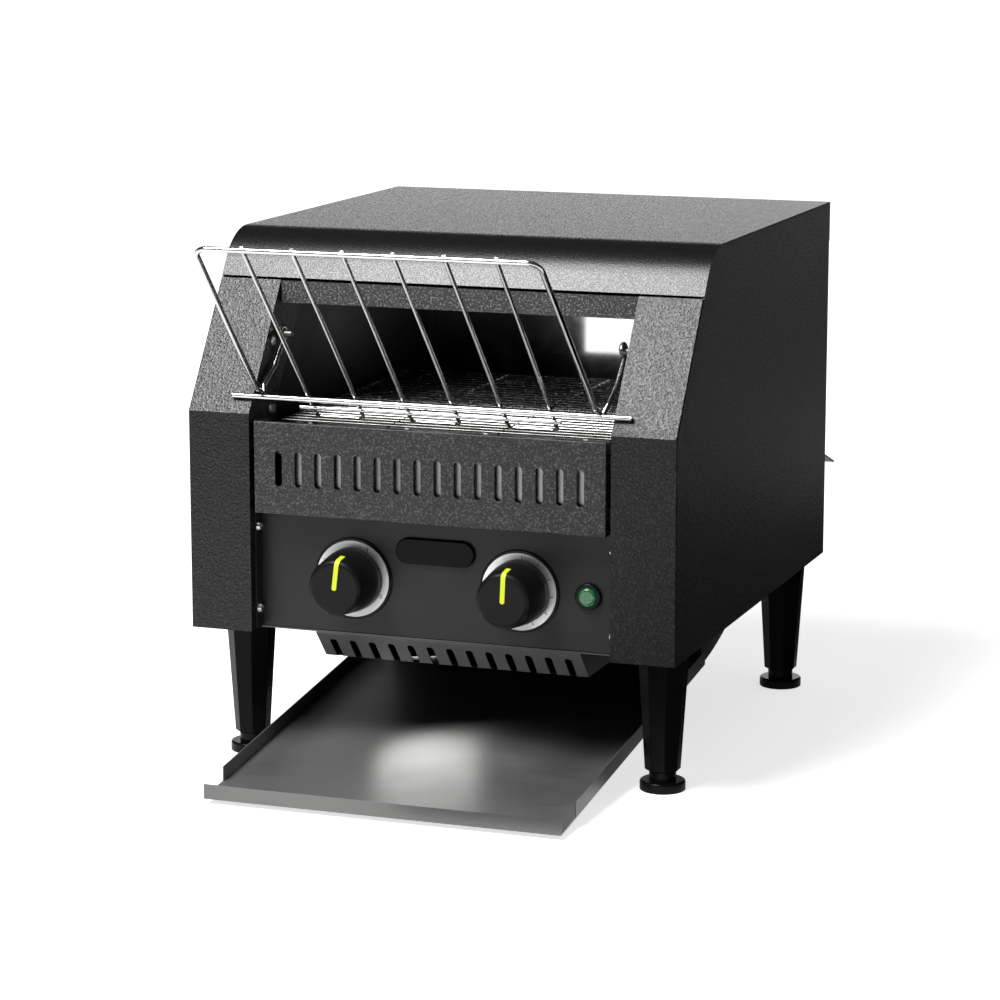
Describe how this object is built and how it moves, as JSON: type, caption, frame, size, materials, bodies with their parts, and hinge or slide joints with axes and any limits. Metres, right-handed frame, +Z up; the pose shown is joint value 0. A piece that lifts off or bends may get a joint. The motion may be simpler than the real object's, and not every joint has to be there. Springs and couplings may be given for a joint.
{
  "type": "conveyor toaster",
  "caption": "Countertop conveyor toaster: a sloping wire feed rack, a wire belt between heater tubes, a curved return chute and a toast tray.",
  "frame": {"origin": "middle of the bounding box in plan, at the surface that the feet stand on", "axes": "+X to the right seen from the front, +Y towards the back, +Z up; the feed rack and tray point to -Y"},
  "size_m": [0.368, 0.556, 0.3971],
  "materials": {
    "powder_black": "wrinkled black powder coat",
    "panel_black": "smooth dark grey paint",
    "leg_black": "gloss black",
    "foot_steel": "plated steel",
    "tray_steel": "brushed stainless steel",
    "liner_steel": "bare stainless sheet",
    "pan_steel": "light grey zinc-coated sheet",
    "chute_black": "black enamel",
    "chamber_steel": "heat-stained stainless sheet",
    "rack_chrome": "bright chrome plate",
    "belt_steel": "stainless wire",
    "shaft_steel": "turned steel",
    "bush_bronze": "sintered bronze",
    "heater_sheath": "dark oxidised metal sheath",
    "ceramic": "white ceramic",
    "knob_black": "satin black",
    "pointer_green": "yellow-green",
    "ring_silver": "satin silver",
    "bezel_black": "gloss black",
    "lens_green": "translucent green",
    "badge": "plain dark plate",
    "screw_steel": "plated steel",
    "motor_grey": "grey paint",
    "chain_steel": "oiled steel",
    "moulding": "natural moulding",
    "wire_sleeve": "black sleeve"
  },
  "bodies": {
    "body": {"left_side_panel": "powder_black", "right_side_panel": "powder_black", "lid": "powder_black", "back_panel": "powder_black", "rear_hood": "powder_black", "upper_strip": "powder_black", "vent_panel": "powder_black", "vent_liner": "liner_steel", "control_panel": "panel_black", "chassis_floor": "pan_steel", "bottom_pan": "pan_steel", "return_chute": "chute_black", "tray_runners": "rack_chrome", "leg_studs": "screw_steel", "rack_pegs": "leg_black", "right_chamber_wall": "chamber_steel", "left_chamber_wall": "chamber_steel", "chamber_ceiling": "chamber_steel", "chamber_back": "chamber_steel", "lower_shield": "chamber_steel", "heater_tubes": "heater_sheath", "heater_caps": "ceramic", "wire_belt": "belt_steel", "shaft_bushes": "bush_bronze", "drive_chain": "chain_steel", "drive_motor": "motor_grey", "dial_bezels": "bezel_black", "dial_rings": "ring_silver", "heat_switch": "moulding", "speed_control": "moulding", "lamp_bezel": "bezel_black", "lamp_lens": "lens_green", "badge_plate": "badge", "terminal_block": "moulding", "wiring_loom": "wire_sleeve", "cable_gland": "bezel_black", "panel_screws": "screw_steel", "front_left_leg": "leg_black", "front_right_leg": "leg_black", "rear_left_leg": "leg_black", "rear_right_leg": "leg_black"},
    "feed_rack": {"rack_frame": "rack_chrome", "rack_cross_rod": "rack_chrome", "rack_stop_rod": "rack_chrome", "rack_hairpins": "rack_chrome"},
    "tray": {"toast_tray": "tray_steel"},
    "heat_control": {"heat_knob": "knob_black", "heat_pointer": "pointer_green"},
    "speed_setting": {"speed_knob": "knob_black", "speed_pointer": "pointer_green"},
    "front_drum": {"front_shaft": "shaft_steel", "front_sprockets": "shaft_steel"},
    "rear_drum": {"rear_shaft": "shaft_steel", "rear_sprockets": "shaft_steel", "drive_wheel": "shaft_steel"},
    "pinion": {"motor_pinion": "shaft_steel"},
    "front_left_screw_foot": {"front_left_foot": "foot_steel"},
    "front_right_screw_foot": {"front_right_foot": "foot_steel"},
    "rear_left_screw_foot": {"rear_left_foot": "foot_steel"},
    "rear_right_screw_foot": {"rear_right_foot": "foot_steel"}
  },
  "joints": [
    {"name": "rack_tip_up", "type": "hinge", "parent": "body", "child": "feed_rack", "pos_m": [0, -0.1145, 0.3143], "axis": [-1, 0, 0], "range_deg": [0, 60]},
    {"name": "tray_pull_out", "type": "slide", "parent": "body", "child": "tray", "axis": [0, -1, 0], "range_m": [0, 0.15]},
    {"name": "heat_turn", "type": "hinge", "parent": "body", "child": "heat_control", "pos_m": [-0.0635, -0.169, 0.1448], "axis": [0, 1, 0], "range_deg": [-7, 263]},
    {"name": "speed_turn", "type": "hinge", "parent": "body", "child": "speed_setting", "pos_m": [0.0635, -0.169, 0.1448], "axis": [0, 1, 0], "range_deg": [0, 280]},
    {"name": "rear_shaft_spin", "type": "hinge", "parent": "body", "child": "rear_drum", "pos_m": [0, 0.118, 0.24088], "axis": [1, 0, 0], "continuous": true},
    {"name": "front_shaft_spin", "type": "hinge", "parent": "body", "child": "front_drum", "pos_m": [0, -0.134, 0.24088], "axis": [1, 0, 0], "continuous": true},
    {"name": "motor_spin", "type": "hinge", "parent": "body", "child": "pinion", "pos_m": [0.15, 0.056, 0.16], "axis": [1, 0, 0], "continuous": true},
    {"name": "front_left_foot_height", "type": "slide", "parent": "body", "child": "front_left_screw_foot", "axis": [0, 0, -1], "range_m": [0, 0.012]},
    {"name": "front_right_foot_height", "type": "slide", "parent": "body", "child": "front_right_screw_foot", "axis": [0, 0, -1], "range_m": [0, 0.012]},
    {"name": "rear_left_foot_height", "type": "slide", "parent": "body", "child": "rear_left_screw_foot", "axis": [0, 0, -1], "range_m": [0, 0.012]},
    {"name": "rear_right_foot_height", "type": "slide", "parent": "body", "child": "rear_right_screw_foot", "axis": [0, 0, -1], "range_m": [0, 0.012]}
  ],
  "couplings": [
    {"joint": "front_shaft_spin", "follows": "rear_shaft_spin", "ratio": 1},
    {"joint": "motor_spin", "follows": "rear_shaft_spin", "ratio": 2}
  ]
}
